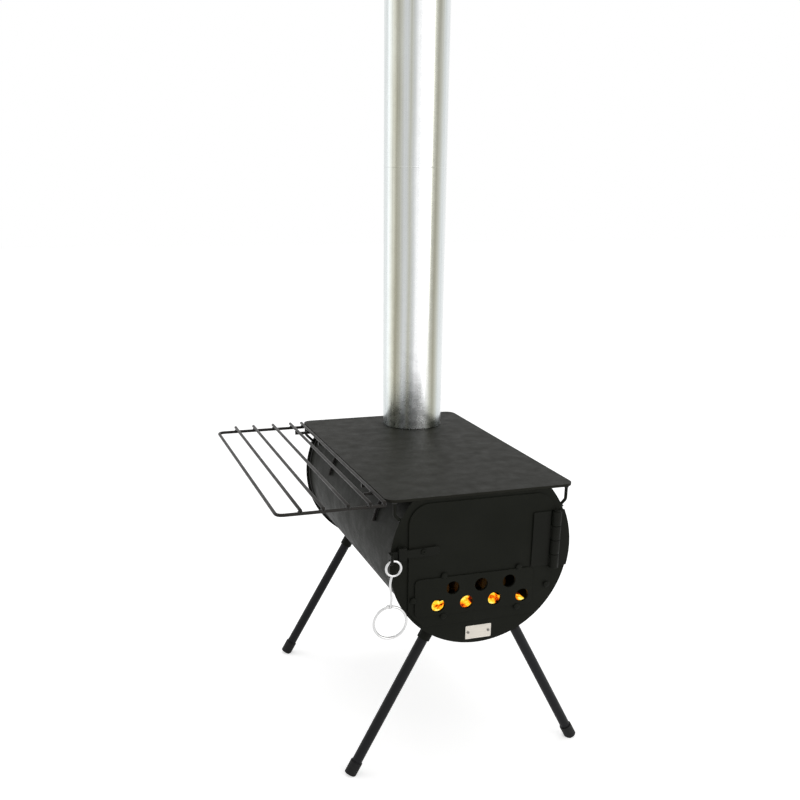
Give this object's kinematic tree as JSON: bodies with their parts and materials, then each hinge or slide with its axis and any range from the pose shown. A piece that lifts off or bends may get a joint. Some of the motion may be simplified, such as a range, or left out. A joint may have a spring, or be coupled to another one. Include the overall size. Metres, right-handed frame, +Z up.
{
  "type": "tent wood stove",
  "caption": "Cylindrical steel wood stove for tents with a flat cooking plate, hinged fire door with draft slide and latch, splayed legs, wire side shelf and flue pipe.",
  "frame": {"origin": "on the floor, under the middle of the bounding box of the whole stove with its shelf and legs", "axes": "+Z up along the flue pipe; the fire door faces -Y and the wire shelf is on the -X side"},
  "size_m": [0.6182, 0.6334, 1.5996],
  "materials": {
    "stove_paint": "satin",
    "plate_paint": "satin",
    "leg_paint": "satin",
    "galvanised": "bright zinc",
    "bright_wire": "bright zinc",
    "badge_metal": "satin",
    "grate_iron": "rough",
    "foot_rubber": "matte"
  },
  "bodies": {
    "stove": {"barrel_shell": "stove_paint", "front_end_plate": "stove_paint", "rear_end_plate": "stove_paint", "cooking_plate": "plate_paint", "fire_grate": "grate_iron", "flue_collar": "stove_paint", "nameplate": "badge_metal", "nameplate_rivet_left": "badge_metal", "nameplate_rivet_right": "badge_metal", "frame_hinge_leaf": "stove_paint", "latch_keeper": "stove_paint", "leg_socket_front_left": "stove_paint", "leg_socket_front_right": "stove_paint", "leg_socket_rear_left": "stove_paint", "leg_socket_rear_right": "stove_paint", "corner_brace_front_left": "stove_paint", "corner_brace_front_right": "stove_paint", "corner_brace_rear_left": "stove_paint", "corner_brace_rear_right": "stove_paint", "shelf_staple_front": "stove_paint", "shelf_staple_rear": "stove_paint"},
    "door": {"door_panel": "stove_paint", "door_hinge_leaf": "stove_paint", "hinge_pin": "stove_paint", "guide_bolt_upper_left": "stove_paint", "guide_bolt_upper_right": "stove_paint", "guide_bolt_lower_left": "stove_paint", "guide_bolt_lower_right": "stove_paint", "stop_bolt_left": "stove_paint", "stop_bolt_right": "stove_paint", "latch_bolt": "stove_paint", "latch_nut": "stove_paint"},
    "draft": {"draft_slide": "stove_paint"},
    "latch": {"latch_lever": "stove_paint"},
    "pull": {"wire_pull": "bright_wire"},
    "leg_front_left": {"leg_tube_front_left": "leg_paint", "foot_cap_front_left": "foot_rubber"},
    "leg_front_right": {"leg_tube_front_right": "leg_paint", "foot_cap_front_right": "foot_rubber"},
    "leg_rear_left": {"leg_tube_rear_left": "leg_paint", "foot_cap_rear_left": "foot_rubber"},
    "leg_rear_right": {"leg_tube_rear_right": "leg_paint", "foot_cap_rear_right": "foot_rubber"},
    "pipe_lower": {"lower_pipe": "galvanised"},
    "pipe_upper": {"upper_pipe": "galvanised"},
    "shelf": {"shelf_frame": "leg_paint", "shelf_bar_1": "leg_paint", "shelf_bar_2": "leg_paint", "shelf_bar_3": "leg_paint", "shelf_bar_4": "leg_paint", "shelf_bar_5": "leg_paint", "shelf_arm_front": "leg_paint", "shelf_arm_rear": "leg_paint", "shelf_hook_front": "leg_paint", "shelf_hook_rear": "leg_paint"}
  },
  "joints": [
    {"name": "door_swing", "type": "hinge", "parent": "stove", "child": "door", "pos_m": [0.20279, -0.30419, 0.4591], "axis": [0, 0, 1], "range_deg": [0, 150]},
    {"name": "draft_slide_travel", "type": "slide", "parent": "door", "child": "draft", "axis": [1, 0, 0], "range_m": [0, 0.0258]},
    {"name": "latch_lift", "type": "hinge", "parent": "door", "child": "latch", "pos_m": [-0.05171, -0.30069, 0.4636], "axis": [0, 1, 0], "range_deg": [0, 60]},
    {"name": "pull_swing", "type": "hinge", "parent": "latch", "child": "pull", "pos_m": [-0.11331, -0.30969, 0.4537], "axis": [-1, 0, 0], "range_deg": [-6, 80]},
    {"name": "leg_front_left_pull", "type": "slide", "parent": "stove", "child": "leg_front_left", "axis": [-0.4741, 0, -0.8805], "range_m": [0, 0.045]},
    {"name": "leg_front_right_pull", "type": "slide", "parent": "stove", "child": "leg_front_right", "axis": [0.4741, 0, -0.8805], "range_m": [0, 0.045]},
    {"name": "leg_rear_left_pull", "type": "slide", "parent": "stove", "child": "leg_rear_left", "axis": [-0.472, 0.0937, -0.8766], "range_m": [0, 0.045]},
    {"name": "leg_rear_right_pull", "type": "slide", "parent": "stove", "child": "leg_rear_right", "axis": [0.472, 0.0937, -0.8766], "range_m": [0, 0.045]},
    {"name": "lower_pipe_lift", "type": "slide", "parent": "stove", "child": "pipe_lower", "axis": [0, 0, 1], "range_m": [0, 0.045]},
    {"name": "upper_pipe_lift", "type": "slide", "parent": "pipe_lower", "child": "pipe_upper", "axis": [0, 0, 1], "range_m": [0, 0.045]},
    {"name": "shelf_pull", "type": "slide", "parent": "stove", "child": "shelf", "axis": [-1, 0, 0], "range_m": [0, 0.045]}
  ]
}
